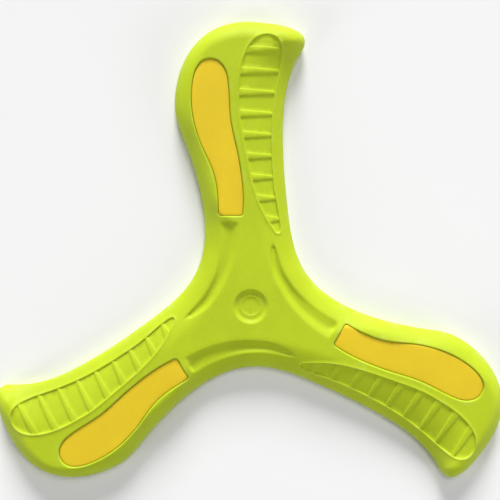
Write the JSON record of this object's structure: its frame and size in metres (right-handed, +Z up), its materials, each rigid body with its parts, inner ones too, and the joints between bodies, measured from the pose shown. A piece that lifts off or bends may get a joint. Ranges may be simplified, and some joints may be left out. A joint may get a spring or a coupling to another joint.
{
  "type": "boomerang",
  "caption": "Soft foam boomerang with hooked blades round a dished hub, bonded foam inlays and ribbed trailing panels, for throwing and catching.",
  "frame": {"origin": "centre of the hub on the flat underside", "axes": "+Z up, out of the decorated top face; +Y along the first blade; +X to its right seen from above, so the blades' hooked corners point clockwise"},
  "size_m": [0.292, 0.2621, 0.0153],
  "materials": {
    "body_foam": "matt moulded foam skin",
    "inlay_foam": "matt die-cut foam",
    "glue": "thin dried adhesive film"
  },
  "bodies": {
    "root": {"foam_body": "body_foam", "inlay_1": "inlay_foam", "inlay_2": "inlay_foam", "inlay_3": "inlay_foam", "inlay_glue_1": "glue", "inlay_glue_2": "glue", "inlay_glue_3": "glue"}
  },
  "joints": []
}
